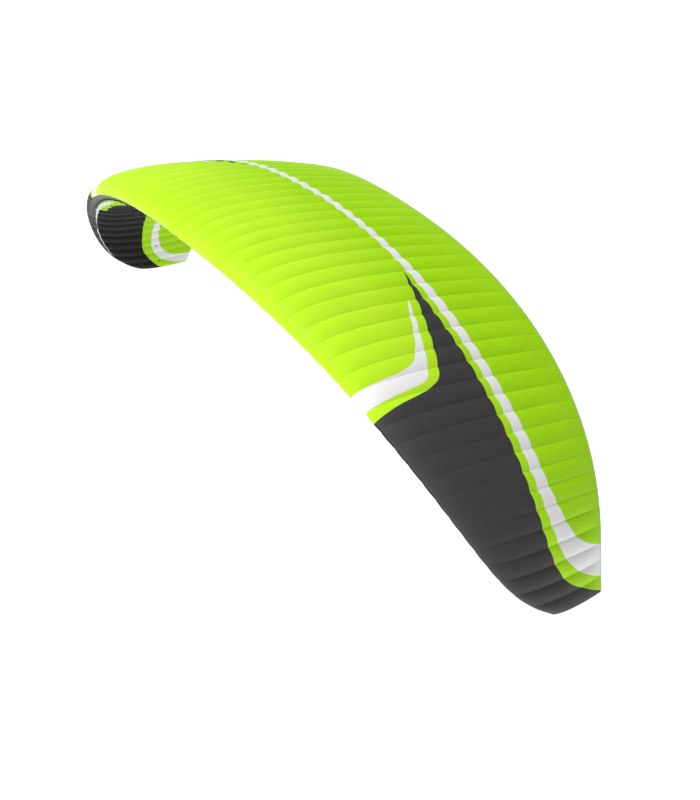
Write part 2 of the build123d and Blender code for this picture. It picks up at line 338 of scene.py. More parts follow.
# colour borders: (place on the chord, rib number) or (rib number, place on the chord)
borders = {
    "blackFront": [
        (0, 14.6), (0.10, 14.35), (0.226, 14.1), (0.284, 13.92), (0.345, 13.5),
        (0.391, 12.6), (0.456, 10.9), (0.52, 8.95), (0.575, 7.0),
    ],
    "topBlackRear": [
        (7, 0.575), (9, 0.553), (13, 0.526), (17, 0.498), (21, 0.466), (23.6, 0.450),
        (24.6, 0.468), (25.2, 0.505), (25.7, 0.58), (26.15, 0.70), (26.6, 0.85), (26.9, 1.0),
    ],
    "topWhiteFront": [
        (0, 0.622), (4.5, 0.607), (8, 0.588), (11, 0.571), (13.5, 0.557), (17, 0.542), (20.5, 0.53),
        (22.5, 0.538), (23.4, 0.55), (24.1, 0.585), (24.6, 0.63), (25.1, 0.71), (25.5, 0.81), (26.0, 1.0),
    ],
    "topWhiteRear": [
        (0, 0.655), (4.5, 0.642), (9.4, 0.624), (12.6, 0.609), (16, 0.603), (18.5, 0.605), (20, 0.613),
        (21, 0.63), (22, 0.66), (22.6, 0.69), (23.1, 0.738), (23.5, 0.80), (23.8, 0.88), (24.05, 1.0),
    ],
    "underBlackRear": [
        (7, 0.50), (14, 0.42), (19.3, 0.37), (22.3, 0.378),
        (24.1, 0.378), (25.6, 0.41), (26.5, 0.435), (27, 0.47),
    ],
    "underWhiteFront": [
        (0, 0.60), (14, 0.50), (21, 0.46), (23, 0.465),
        (24.4, 0.48), (25.5, 0.533), (26.3, 0.668), (26.8, 0.95),
    ],
    "underWhiteRear": [
        (0, 0.64), (14, 0.55), (21.3, 0.516), (23.2, 0.54),
        (24.4, 0.581), (25.2, 0.655), (25.6, 0.76), (25.9, 1.0),
    ],
    "lipFront": [
        (13, 0.06), (15.6, 0.047), (17.5, 0.036), (19.3, 0.03),
        (24.0, 0.03), (24.6, 0.036), (25.2, 0.06), (27, 0.07),
    ],
    "lipRear": [
        (13, 0.085), (14.9, 0.078), (16.2, 0.064), (18.7, 0.053),
        (20.6, 0.047), (23.3, 0.045), (25, 0.045), (27, 0.045),
    ],
    "chevronFront": [
        (0, 13.0), (0.12, 12.92), (0.225, 12.78), (0.288, 12.45), (0.328, 11.95), (0.358, 11.45),
        (0.388, 10.85), (0.418, 10.2), (0.447, 9.55), (0.484, 8.95),
    ],
    "chevronRear": [
        (0, 14.0), (0.123, 13.85), (0.20, 13.75), (0.274, 13.58), (0.317, 13.1), (0.342, 12.6),
        (0.369, 12.05), (0.388, 11.5), (0.41, 10.95), (0.433, 10.4), (0.452, 9.8), (0.484, 8.95),
    ],
}


def canopyCloth(name, tones, under=False):
    shader = Shader(name)
    panel = shader.node("ShaderNodeUVMap", {"uv_map": "panel"})["UV"]
    cloth = shader.node("ShaderNodeUVMap", {"uv_map": "cloth"})["UV"]
    signedRib, signedPlace, _ = shader.split(panel)
    across, down, _ = shader.split(cloth)
    rib = abs(signedRib)
    place = abs(signedPlace)

    def borderRib(key):
        return shader.curve(place, borders[key], 1.0, pattern["topRib"])

    def borderPlace(key):
        return shader.curve(rib, borders[key], pattern["topRib"], 1.0)

    start = "under" if under else "top"
    black = (rib > borderRib("blackFront")) * (place < borderPlace(start + "BlackRear"))
    black = black * (rib > pattern["blackFrom"])
    white = (place > borderPlace(start + "WhiteFront")) * (place < borderPlace(start + "WhiteRear"))
    front, aft, pale, dark = [clothLook[key] for key in tones]
    # painted shade: the lime darkens towards the rear of the chord, where the wing turns from the light
    lime = shader.mix(((place - pattern["aftFrom"]) * pattern["aftRate"]).clamp(), front, aft)
    # painted shade: round the nose the lime is also darkened towards the deeper tone, where the light
    # strikes full on
    noseShade = (1.0 - place * pattern["noseRate"]).clamp()
    lime = shader.mix(noseShade * pattern["noseShare"], lime, aft)
    # painted shade: black on the underside takes the darker underside copy
    dark = shader.mix(signedPlace < 0.0, dark, clothLook["underBlack"])
    colour = shader.mix(white, lime, pale)
    colour = shader.mix(black, colour, dark)
    if under:
        # a stripe behind the nose, with a thin lime strip beside it
        edge = borderPlace("lipRear")
        outer = rib > pattern["stripeFrom"]
        strip = (place < edge + pattern["stripWidth"]) * outer * (rib < pattern["stripEnd"])
        stripe = (place < edge) * (place > borderPlace("lipFront")) * outer
        colour = shader.mix(strip, colour, front)
        colour = shader.mix(stripe, colour, pale)
    else:
        chevron = (rib > borderRib("chevronFront")) * (rib < borderRib("chevronRear"))
        colour = shader.mix(chevron * (place < pattern["chevronEnd"]), colour, pale)

    # each panel is cut from its own stretch of the roll
    panelNumber = {"W": signedRib.floor() + 0.5}
    tone = shader.node("ShaderNodeTexWhiteNoise", {"noise_dimensions": "1D"}, panelNumber)["Value"]
    objectPlace = shader.node("ShaderNodeTexCoord")["Object"]
    broad = {"Vector": objectPlace, "Scale": 2.3, "Detail": 4.0}
    mottle = shader.node("ShaderNodeTexNoise", None, broad)["Fac"]
    shade = {0: colour, "Scale": 0.945 + 0.025 * tone + 0.07 * mottle}
    shaded = shader.node("ShaderNodeVectorMath", {"operation": "SCALE"}, shade)["Vector"]

    # seams: a soft dark line, partly the seam's own thread line and partly painted shade in the crease, with
    # a row of stitches on both sides
    cellPart = signedRib % 1.0
    fromSeam = (0.5 - abs(cellPart - 0.5)) * clothLook["cellAcross"]
    seamLineShade = fromSeam < clothLook["seamWidth"]
    onRow = abs(fromSeam - clothLook["stitchOffset"]) < clothLook["stitchHalfWidth"]
    stitchRow = onRow * ((down * clothLook["stitchesPerMetre"]) % 1.0 < 0.6)
    seamLineShaded = shader.mix(seamLineShade * clothLook["creaseShare"], shaded, (0.02, 0.025, 0.02))
    finished = shader.mix(stitchRow * clothLook["stitchShare"], seamLineShaded, (0.30, 0.31, 0.29))

    # ripstop: a fine weave with a thicker thread every few millimetres
    turns = 2 * math.pi / clothLook["ripstop"]
    gridAcross = ((across * turns).sin() > clothLook["threadEdge"]) * 1.0
    gridDown = ((down * turns).sin() > clothLook["threadEdge"]) * 1.0
    yarns = turns * clothLook["yarnsPerSquare"]
    weave = (across * yarns).sin() * (down * yarns).sin()
    puckers = shader.node(
        "ShaderNodeTexNoise", None, {"Vector": objectPlace, "Scale": 26.0, "Detail": 3.0, "Roughness": 0.5}
    )["Fac"]
    height = gridAcross.math("MAXIMUM", gridDown) * 0.35 + weave * 0.05 + puckers * 1.4
    roughness = clothLook["roughness"] + 0.12 * mottle + 0.05 * gridDown
    fixed = {"Specular IOR Level": clothLook["underGloss" if under else "gloss"]}
    return shader.finish(finished, roughness, height, 0.35, 0.0012, fixed)


def wovenTape(name, light, dark, pitch, fixed=None):
    shader = Shader(name)
    place = shader.node("ShaderNodeTexCoord")["Object"]
    x, y, z = shader.split(place)
    turns = 2 * math.pi / pitch
    ribs = ((x + z) * turns).sin() * (y * turns).sin()
    wear = shader.node("ShaderNodeTexNoise", None, {"Vector": place, "Scale": 18.0, "Detail": 5.0})["Fac"]
    mixed = shader.mix((0.35 + 0.3 * ribs + 0.5 * (wear - 0.5)).clamp(), light, dark)
    return shader.finish(mixed, 0.62 + 0.2 * wear, ribs, 0.5, 0.0004, fixed)


def ribCloth():
    shader = Shader("ribCloth")
    place = shader.node("ShaderNodeTexCoord")["Object"]
    x, y, z = shader.split(place)
    turns = 2 * math.pi / clothLook["ripstop"]
    grid = ((y * turns).sin() > 0.92).math("MAXIMUM", (z * turns).sin() > 0.92)
    wear = shader.node("ShaderNodeTexNoise", None, {"Vector": place, "Scale": 5.0, "Detail": 4.0})["Fac"]
    colour = shader.mix((0.2 + 0.6 * wear + 0.2 * grid).clamp(), (0.80, 0.80, 0.78), (0.60, 0.61, 0.60))
    return shader.finish(colour, 0.5 + 0.15 * wear, grid + wear, 0.3, 0.0006, {"Sheen Weight": 0.1})


def battenPlastic():
    shader = Shader("battenPlastic")
    place = shader.node("ShaderNodeTexCoord")["Object"]
    streak = shader.node("ShaderNodeTexNoise", None, {"Vector": place, "Scale": 40.0, "Detail": 2.0})["Fac"]
    colour = shader.mix(streak, (0.82, 0.82, 0.78), (0.68, 0.69, 0.66))
    return shader.finish(colour, 0.28 + 0.15 * streak, streak, 0.1, 0.0003)


topTones = ("lime", "aftLime", "white", "black")
# painted shade: the underside tones are the darker copies of the top cloth's colours
shadedUnderTones = ("underLime", "underLime", "underWhite", "underBlack")
upperCloth = canopyCloth("upperCloth", topTones)
lowerCloth = canopyCloth("lowerCloth", shadedUnderTones, under=True)
ribMaterial = ribCloth()
tapeMaterial = wovenTape("edgeTape", (0.62, 0.64, 0.60), (0.46, 0.48, 0.45), 0.003)
lipMaterial = wovenTape("lipTape", (0.022, 0.022, 0.024), (0.012, 0.012, 0.013), 0.003)
strapMaterial = wovenTape("strapWeave", (0.75, 0.75, 0.72), (0.55, 0.55, 0.52), 0.004)
loopMaterial = wovenTape("loopWeave", (0.05, 0.05, 0.055), (0.015, 0.015, 0.017), 0.0024)
battenMaterial = battenPlastic()
print("finishes made")

# ---- cloth panels: a grid between ribs, then the air that fills each cell

cellAir = {
    "depth": 0.10,  # how far a cell swells, as a share of its width
    "underDepth": 0.09,
    "fadeFrom": 0.70,  # swelling fades from here to the trailing edge
    "noseShare": 0.12,  # what is left of the swelling round the nose
    "noseReach": 0.12,  # swelling is whole from this share of the chord
    "stepsPerCell": 10,
    "thickness": 0.0009,
    "puckerHeight": 0.0028,
    "puckerReach": 0.035,
    "puckerStart": 0.006,  # flat beside the stitches
    "seed": 54,
}

puckerRandom = np.random.default_rng(cellAir["seed"])
puckerCount = 2 * wing["cellsPerSide"] + 1
puckerPhase = puckerRandom.uniform(0, 2 * math.pi, (puckerCount, 3))
puckerSpan = puckerRandom.uniform(0.085, 0.21, (puckerCount, 3))
cellFullness = puckerRandom.uniform(0.95, 1.05, puckerCount)


def cellWidth(rib):
    place = np.abs(rib) / wing["cellsPerSide"]
    narrowed = 1 - sum(amount * place**power for amount, power in wing["cellTaper"])
    return narrowed / wholeTaper * wing["halfSpan"] / wing["cellsPerSide"]


def cellPlace(ribs):
    # how far across its cell each place is, and the cell's number
    part = ribs - np.floor(ribs + 1e-9)
    part = np.where(np.abs(ribs - np.rint(ribs)) < 1e-6, 0.0, part)
    number = np.clip(np.floor(ribs + 1e-9).astype(int) + wing["cellsPerSide"], 0, puckerCount - 1)
    return part, number


def airFade(along):
    # cells are flat at the trailing edge and nearly flat round the stiffened nose
    aft = np.clip((1 - along**2) / (1 - cellAir["fadeFrom"]), 0, 1)
    fore = np.clip(np.abs(along) / math.sqrt(cellAir["noseReach"]), 0, 1)
    fore = cellAir["noseShare"] + (1 - cellAir["noseShare"]) * fore * fore * (3 - 2 * fore)
    return aft * (2 - aft) * fore


def balloonTree():
    tree = bpy.data.node_groups.new("Fill cells with air", "GeometryNodeTree")
    tree.interface.new_socket("Geometry", in_out="INPUT", socket_type="NodeSocketGeometry")
    depth = tree.interface.new_socket("Swell depth", in_out="INPUT", socket_type="NodeSocketFloat")
    cloth = tree.interface.new_socket("Cloth", in_out="INPUT", socket_type="NodeSocketMaterial")
    tree.interface.new_socket("Geometry", in_out="OUTPUT", socket_type="NodeSocketGeometry")

    def add(kind, settings=None, links=None):
        made = tree.nodes.new(kind)
        for key, value in (settings or {}).items():
            setattr(made, key, value)
        for key, value in (links or {}).items():
            if isinstance(value, bpy.types.NodeSocket):
                tree.links.new(value, made.inputs[key])
            else:
                made.inputs[key].default_value = value
        return made

    source = add("NodeGroupInput")
    read = {}
    for name, kind in (("cellPart", "FLOAT"), ("cellSwell", "FLOAT"), ("outward", "FLOAT_VECTOR")):
        read[name] = add("GeometryNodeInputNamedAttribute", {"data_type": kind}, {"Name": name}).outputs[0]

    def times(first, second):
        return add("ShaderNodeMath", {"operation": "MULTIPLY"}, {0: first, 1: second}).outputs[0]

    part, width, out = read["cellPart"], read["cellSwell"], read["outward"]
    rest = add("ShaderNodeMath", {"operation": "SUBTRACT"}, {0: 1.0, 1: part}).outputs[0]
    swell = times(times(times(part, rest), 4.0), width)
    lift = times(swell, source.outputs["Swell depth"])
    push = add("ShaderNodeVectorMath", {"operation": "SCALE"}, {0: out, "Scale": lift}).outputs[0]
    moved = add("GeometryNodeSetPosition", None, {"Geometry": source.outputs["Geometry"], "Offset": push})
    real = add("GeometryNodeRealizeInstances", None, {"Geometry": moved.outputs["Geometry"]})
    painted = add(
        "GeometryNodeSetMaterial", None,
        {"Geometry": real.outputs["Geometry"], "Material": source.outputs["Cloth"]},
    )
    add("NodeGroupOutput", None, {"Geometry": painted.outputs["Geometry"]})
    return tree, depth.identifier, cloth.identifier


airTree, depthInput, clothInput = balloonTree()


def runTree(piece, tree, inputs):
    # set the inputs first, then turn the evaluated result into a plain mesh
    modifier = piece.modifiers.new(tree.name, "NODES")
    modifier.node_group = tree
    for identifier, value in inputs.items():
        modifier[identifier] = value
    bpy.context.view_layer.update()
    graph = bpy.context.evaluated_depsgraph_get()
    made = bpy.data.meshes.new_from_object(piece.evaluated_get(graph))
    piece.modifiers.remove(modifier)
    piece.data = made
    return piece


def newPiece(name, mesh, material=None):
    piece = bpy.data.objects.new(name, mesh)
    bpy.context.scene.collection.objects.link(piece)
    if material is not None:
        mesh.materials.clear()
        mesh.materials.append(material)
    return piece


def shadeSmooth(mesh):
    mesh.polygons.foreach_set("use_smooth", [True] * len(mesh.polygons))
    mesh.update()


def puckerAt(ribs, lengthDown, part, width):
    # short wrinkles that stand across each seam and fade into the cell
    nearest = np.rint(ribs).astype(int) + wing["cellsPerSide"]
    fromSeam = (0.5 - np.abs(part - 0.5)) * width
    waves = np.zeros_like(fromSeam)
    for k in range(3):
        waves += np.sin(2 * math.pi * lengthDown / puckerSpan[nearest, k] + puckerPhase[nearest, k])
    fade = np.exp(-fromSeam / cellAir["puckerReach"]) * (1 - np.exp(-fromSeam / cellAir["puckerStart"]))
    return cellAir["puckerHeight"] * waves / 3 * fade


def creaseAtSeams(mesh, perColumn, count):
    # the cloth folds sharply where it is sewn to a rib
    mesh.update(calc_edges=True)
    ends = np.zeros(2 * len(mesh.edges), np.int32)
    mesh.edges.foreach_get("vertices", ends)
    column = (ends.reshape(-1, 2) % count) // perColumn
    alongRib = column[:, 0] == column[:, 1]
    mesh.edges.foreach_set("use_edge_sharp", alongRib & (column[:, 0] % cellAir["stepsPerCell"] == 0))


def clothPiece(name, ribFrom, ribTo, alongFrom, alongTo, rows, material, depth):
    cells = int(round(ribTo - ribFrom))
    columns = cells * cellAir["stepsPerCell"] + 1
    ribs = np.linspace(ribFrom, ribTo, columns)
    alongs = np.linspace(alongFrom, alongTo, rows + 1)
    ribGrid, alongGrid = np.meshgrid(ribs, alongs, indexing="ij")
    place = alongGrid**2
    part, cellNumber = cellPlace(ribGrid)
    width = cellWidth(ribGrid)
    fade = airFade(alongGrid)
    outside, outward = wingPoint(ribGrid, alongGrid)
    inside, _ = wingPoint(ribGrid, alongGrid, cellAir["thickness"])
    lengthDown = place * chordAt(shareAt(ribGrid))
    pucker = puckerAt(ribGrid, lengthDown, part, width) * (0.25 + 0.75 * fade)
    outside = outside + outward * pucker[..., None]
    inside = inside + outward * pucker[..., None]
    count = columns * (rows + 1)
    vertices = np.concatenate([outside.reshape(-1, 3), inside.reshape(-1, 3)])
    index = np.arange(count).reshape(columns, rows + 1)
    a, b = index[:-1, :-1], index[1:, :-1]
    c, d = index[1:, 1:], index[:-1, 1:]
    outer = np.stack([a, b, c, d], -1).reshape(-1, 4)
    inner = outer[:, ::-1] + count
    rim = np.concatenate([index[:, 0], index[-1, 1:], index[-2::-1, -1], index[0, -2:0:-1]])
    ringNext = np.roll(rim, -1)
    edges = np.stack([rim, rim + count, ringNext + count, ringNext], -1)
    faces = np.concatenate([outer, inner, edges])
    mesh = bpy.data.meshes.new(name)
    mesh.from_pydata(vertices.tolist(), [], faces.tolist())
    mesh.polygons.foreach_set("use_smooth", [n < 2 * len(outer) for n in range(len(faces))])
    creaseAtSeams(mesh, rows + 1, count)

    def both(grid):
        return np.concatenate([grid.reshape(-1), grid.reshape(-1)])

    panelUv = np.stack([both(ribGrid), both(alongGrid * np.abs(alongGrid))], -1)
    spanPlace = shareAt(ribGrid) * wing["halfSpan"] * np.sign(ribGrid)
    clothUv = np.stack([both(spanPlace), both(lengthDown)], -1)
    corners = np.zeros(len(mesh.loops), np.int32)
    mesh.loops.foreach_get("vertex_index", corners)
    for layer, values in (("panel", panelUv), ("cloth", clothUv)):
        made = mesh.uv_layers.new(name=layer)
        made.data.foreach_set("uv", values[corners].astype(np.float32).reshape(-1))
    swell = both(width * fade * cellFullness[cellNumber])
    for layer, values in (("cellPart", both(part)), ("cellSwell", swell)):
        mesh.attributes.new(layer, "FLOAT", "POINT").data.foreach_set("value", values.astype(np.float32))
    outwardBoth = np.concatenate([outward.reshape(-1, 3), outward.reshape(-1, 3)]).astype(np.float32)
    outwardLayer = mesh.attributes.new("outward", "FLOAT_VECTOR", "POINT")
    outwardLayer.data.foreach_set("vector", outwardBoth.reshape(-1))
    piece = newPiece(name, mesh)
    runTree(piece, airTree, {depthInput: depth, clothInput: material})
    piece.data.name = name
    for layer in ("cellPart", "cellSwell", "outward"):
        spare = piece.data.attributes.get(layer)
        if spare is not None:
            piece.data.attributes.remove(spare)
    fixOutwards(piece.data)
    # the cut size: its widest and longest, and the area of one side
    lateral = np.linalg.norm(np.diff(outside, axis=0), axis=-1).sum(0)
    lengthwise = np.linalg.norm(np.diff(outside, axis=1), axis=-1).sum(1)
    swollen = 1 + 8 / 3 * (depth * fade.mean()) ** 2
    flat = (float(lateral.max()) * (1 + 8 / 3 * depth**2), float(lengthwise.max()))
    quads = np.cross(outside[1:, 1:] - outside[:-1, :-1], outside[1:, :-1] - outside[:-1, 1:])
    area = float(np.linalg.norm(quads, axis=-1).sum() / 2) * swollen
    return piece, flat, min(area, flat[0] * flat[1])


def fixOutwards(mesh):
    work = bmesh.new()
    work.from_mesh(mesh)
    if work.calc_volume(signed=True) < 0:
        bmesh.ops.reverse_faces(work, faces=work.faces)
    work.to_mesh(mesh)
    work.free()


def declareSheet(made):
    piece, flat, area = made
    sheetSizes[piece.name] = (round(flat[0], 2), round(flat[1], 2), round(area, 2))
    return piece


sheetSizes = {}
noseSpan = (-math.sqrt(layout["intakeTop"]), math.sqrt(layout["noseSeam"]))
fullTop = (math.sqrt(layout["noseSeam"]), math.sqrt(layout["tape"]))
cutTop = (math.sqrt(layout["noseSeam"]), math.sqrt(layout["flapCut"]))
fullUnder = (-math.sqrt(layout["tape"]), -math.sqrt(layout["intakeBottom"]))
cutUnder = (-math.sqrt(layout["flapCut"]), -math.sqrt(layout["intakeBottom"]))
flapTop = (math.sqrt(layout["flapCut"]), math.sqrt(layout["tape"]))
flapUnder = (-math.sqrt(layout["tape"]), -math.sqrt(layout["flapCut"]))
flapLast = layout["flapFirst"] + layout["flapCells"] * layout["flapCount"]
middle = layout["flapFirst"]
midEnd = middle + 2 * layout["flapCells"]

# steps from the front of a panel to its rear
rowCounts = {
    "topWhole": 120,
    "topCut": 90,
    "nose": 26,
    "underWhole": 110,
    "underCut": 84,
    "flap": 34,
    "tipTop": 150,
}
upperZones = {
    "centre": (-middle, middle, fullTop, "topWhole"),
    "mid_left": (middle, midEnd, cutTop, "topCut"),
    "outer_left": (midEnd, flapLast, cutTop, "topCut"),
    "mid_right": (-midEnd, -middle, cutTop, "topCut"),
    "outer_right": (-flapLast, -midEnd, cutTop, "topCut"),
}
for zone, (low, high, reach, rowKind) in upperZones.items():
    rows = rowCounts[rowKind]
    made = clothPiece("upperSkin_" + zone, low, high, *reach, rows, upperCloth, cellAir["depth"])
    piece = declareSheet(made)
    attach(piece, "root")
    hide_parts("upper_skin_" + zone)
halves = {"centre": (-middle, middle), "left": (middle, flapLast), "right": (-flapLast, -middle)}
for half, (low, high) in halves.items():
    rows = rowCounts["nose"]
    made = clothPiece("nosePanels_" + half, low, high, *noseSpan, rows, upperCloth, cellAir["depth"])
    piece = declareSheet(made)
    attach(piece, "root")
    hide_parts("nose_panels_" + half)
    reach = fullUnder if half == "centre" else cutUnder
    rows = rowCounts["underWhole" if half == "centre" else "underCut"]
    made = clothPiece("lowerSkin_" + half, low, high, *reach, rows, lowerCloth, cellAir["underDepth"])
    piece = declareSheet(made)
    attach(piece, "root")
    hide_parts("lower_skin_" + half)
print("skins and nose panels filled")


def pointAt(rib, along):
    point, _ = wingPoint(np.array([float(rib)]), np.array([float(along)]))
    return Vector(point[0])


def bendOver(piece, side, number):
    # finds where the flap's cloth would turn behind the rear line eyes, but only bakes the piece's placement
    # into its mesh
    rib = side * (layout["flapFirst"] + layout["flapCells"] * (number - 0.5))
    start = pointAt(rib, -math.sqrt(layout["bendStart"]))
    end = pointAt(rib, -math.sqrt(layout["bendEnd"]))
    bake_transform(piece)


def foldOver(piece, side):
    start = pointAt(side * layout["foldRib"], -math.sqrt(layout["deepest"]))
    end = pointAt(side * layout["foldEnd"], -math.sqrt(layout["deepest"]))
    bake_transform(piece)


for side, sideName in sides.items():
    for number in range(1, layout["flapCount"] + 1):
        first = side * (layout["flapFirst"] + layout["flapCells"] * (number - 1))
        last = side * (layout["flapFirst"] + layout["flapCells"] * number)
        low, high = min(first, last), max(first, last)
        tag = f"{sideName}_{number}"
        for label, reach, cloth, depth in (
            ("flapTop_", flapTop, upperCloth, cellAir["depth"]),
            ("flapUnder_", flapUnder, lowerCloth, cellAir["underDepth"]),
        ):
            made = clothPiece(label + tag, low, high, *reach, rowCounts["flap"], cloth, depth)
            piece = declareSheet(made)
            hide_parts(f"flap_{tag}_skins")
            bendOver(piece, side, number)
    low, high = sorted((side * layout["foldRib"], side * wing["cellsPerSide"]))
    noseToTape = (-math.sqrt(layout["intakeBottom"]), math.sqrt(layout["tape"]))
    rows = rowCounts["tipTop"]
    made = clothPiece("tipTop_" + sideName, low, high, *noseToTape, rows, upperCloth, cellAir["depth"])
    piece = declareSheet(made)
    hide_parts("upper_skin_tip_" + sideName)
    foldOver(piece, side)
    rows = rowCounts["underWhole"]
    made = clothPiece("tipUnder_" + sideName, low, high, *fullUnder, rows, lowerCloth, cellAir["underDepth"])
    piece = declareSheet(made)
    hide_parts("lower_skin_tip_" + sideName)
    foldOver(piece, side)
print("flaps and wing tips filled")

# ---- ribs, cut from sheet with their cross ports

ribCut = {
    "sheet": 0.0007,
    "inset": 0.003,
    "ports": (0.11, 0.22, 0.34, 0.47, 0.60, 0.71),
    "portLength": 0.032,  # half length, as a share of the chord
    "portDepth": 0.55,  # share of the rib's depth there
    "portFront": 0.04,  # cloth kept before the first and behind the last port
    "portRear": 0.03,
    "loadedStep": 3,
    "outlineSteps": 110,
    "tailSteps": 24,
    "portSteps": 28,
    "borderEnd": 0.775,  # ribs between two flaps stop at the bend
    "tailGap": 0.002,
    "closeGap": 0.08,
    "beside": 0.015,  # cells between a closing rib and the border it closes
}


def ribShape(rib, first, last, ports=True):
    place, back, normal, along, chord = [part[0] for part in ribAxes(np.array([float(rib)]))]
    low, high = math.sqrt(first), math.sqrt(last)
    if first == 0:
        runs = np.linspace(-high, high, ribCut["outlineSteps"])
    else:
        steps = ribCut["tailSteps"]
        runs = np.concatenate([np.linspace(low, high, steps), np.linspace(-high, -low, steps)])
    x, y, _, _ = section(runs, chord, ribCut["inset"])
    loops = [list(zip(x, y))]
    for port in ribCut["ports"] if ports else ():
        if not first + ribCut["portFront"] < port < last - ribCut["portRear"]:
            continue
        _, half, _, _ = section(math.sqrt(port), chord)
        turn = np.linspace(0, 2 * math.pi, ribCut["portSteps"], endpoint=False)
        across = port * chord + ribCut["portLength"] * chord * np.cos(turn)
        loops.append(list(zip(across, ribCut["portDepth"] * half * np.sin(turn))))
    return place, back, normal, along, loops


def ribMesh(name, cuts):
    work = bmesh.new()
    for rib, first, last, ports in cuts:
        place, back, normal, along, loops = ribShape(rib, first, last, ports)
        flatLoops = [[Vector((px, py, 0)) for px, py in loop] for loop in loops]
        triangles = tessellate_polygon(flatLoops)
        points = [p for loop in flatLoops for p in loop]
        layers = []
        for offset in (-0.5, 0.5):
            layer = []
            for p in points:
                at = place + back * p.x + normal * p.y + along * offset * ribCut["sheet"]
                layer.append(work.verts.new(at.tolist()))
            layers.append(layer)
        for a, b, c in triangles:
            work.faces.new((layers[0][a], layers[0][b], layers[0][c]))
            work.faces.new((layers[1][c], layers[1][b], layers[1][a]))
        begin = 0
        for loop in flatLoops:
            count = len(loop)
            for n in range(count):
                a, b = begin + n, begin + (n + 1) % count
                work.faces.new((layers[0][a], layers[0][b], layers[1][b], layers[1][a]))
            begin += count
    bmesh.ops.recalc_face_normals(work, faces=work.faces)
    mesh = bpy.data.meshes.new(name)
    work.to_mesh(mesh)
    work.free()
    return newPiece(name, mesh, ribMaterial)


def rootRib(rib):
    border = (abs(rib) - layout["flapFirst"]) % layout["flapCells"] == 0
    if abs(rib) == layout["flapFirst"]:
        # this rib also closes the side of the middle cells when the flaps swing away
        return (rib - math.copysign(ribCut["beside"], rib), 0, layout["ribEnd"], True)
    if layout["flapFirst"] <= abs(rib) <= flapLast:
        return (rib, 0, ribCut["borderEnd"] if border else layout["flapCut"], True)
    return (rib, 0, layout["ribEnd"], True)


fold = layout["foldRib"]
for label, node, wanted in (("loadedRibs", "loaded_ribs", True), ("freeRibs", "free_ribs", False)):
    cuts = [rootRib(r) for r in range(-fold, fold + 1) if (r % ribCut["loadedStep"] == 0) == wanted]
    piece = ribMesh(label, cuts)
    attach(piece, "root")
    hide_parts(node)
for side, sideName in sides.items():
    tipCuts = [(side * r, 0, layout["ribEnd"], True) for r in range(fold + 1, wing["cellsPerSide"])]
    closeFrom = layout["flapCut"] + ribCut["closeGap"]
    tipCuts.append((side * (fold + ribCut["beside"]), closeFrom, layout["ribEnd"], False))
    piece = ribMesh("tipRibs_" + sideName, tipCuts)
    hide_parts("ribs_tip_" + sideName)
    foldOver(piece, side)
    for number in range(1, layout["flapCount"] + 1):
        begin = layout["flapFirst"] + layout["flapCells"] * (number - 1)
        places = list(range(begin + 1, begin + layout["flapCells"]))
        if number == 1:
            places.append(begin + ribCut["beside"])
        if number == layout["flapCount"]:
            places.append(begin + layout["flapCells"] - ribCut["beside"])
        tailFrom = layout["flapCut"] + ribCut["tailGap"]
        cuts = [(side * r, tailFrom, layout["ribEnd"], False) for r in places]
        piece = ribMesh(f"ribTails_{sideName}_{number}", cuts)
        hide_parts(f"flap_{sideName}_{number}_rib_tails")
        bendOver(piece, side, number)
print("ribs cut")

# ---- edge tapes: trailing edge and intake lips

tapeCut = {
    "thickness": 0.0012,
    "wrap": 0.018,
    "seat": 0.0002,  # the tape stands this far off the cloth
    "rear": 0.9995,
    "lipWidth": 0.016,
    "lipProud": 0.0006,
    "lipDepth": 0.0016,
    "stepsPerCell": 10,
}


def swellAt(ribs, along, depth):
    part, cellNumber = cellPlace(ribs)
    return 4 * part * (1 - part) * cellWidth(ribs) * airFade(along) * cellFullness[cellNumber] * depth


def stripMesh(name, rings, material):
    # rings: closed outlines of the same number of points, joined one to the next and capped
    rings = np.asarray(rings)
    steps, around = rings.shape[:2]
    index = np.arange(steps * around).reshape(steps, around)
    nextAround = np.roll(index, -1, axis=1)
    faces = np.stack([index[:-1], nextAround[:-1], nextAround[1:], index[1:]], -1).reshape(-1, 4).tolist()
    faces.append(index[0, ::-1].tolist())
    faces.append(index[-1].tolist())
    mesh = bpy.data.meshes.new(name)
    mesh.from_pydata(rings.reshape(-1, 3).tolist(), [], faces)
    mesh.update()
    fixOutwards(mesh)
    return newPiece(name, mesh, material)


def trailingTape(name, low, high):
    steps = int(high - low) * tapeCut["stepsPerCell"] + 1
    ribs = np.linspace(low, high, steps)
    chord = chordAt(shareAt(ribs))
    front = np.sqrt(1 - tapeCut["wrap"] / chord)
    rear = np.ones(steps) * tapeCut["rear"]
    seat, thick = tapeCut["seat"], tapeCut["thickness"]
    corners = [(front, seat), (front, thick), (rear, thick)]
    outline = []
    for along, proud in corners:
        swell = swellAt(ribs, along, cellAir["depth"])
        outline.append(wingPoint(ribs, along, -(swell + proud))[0])
    for along, proud in reversed(corners):
        swell = swellAt(ribs, along, cellAir["underDepth"])
        outline.append(wingPoint(ribs, -along, -(swell + proud))[0])
    return stripMesh(name, np.stack(outline, 1), tapeMaterial)


def lipTape(name, low, high, along, inward, depth):
    steps = int(high - low) * tapeCut["stepsPerCell"] + 1
    ribs = np.linspace(low, high, steps)
    chord = chordAt(shareAt(ribs))
    edge = np.ones(steps) * along
    rear = -np.sqrt(along**2 + inward * tapeCut["lipWidth"] / chord)
    proudest, deepest = tapeCut["lipProud"], -tapeCut["lipDepth"]
    outline = []
    for at, proud in ((edge, proudest), (rear, proudest), (rear, deepest), (edge, deepest)):
        swell = swellAt(ribs, at, depth)
        outline.append(wingPoint(ribs, at, -(swell + proud))[0])
    return stripMesh(name, np.stack(outline, 1), lipMaterial)


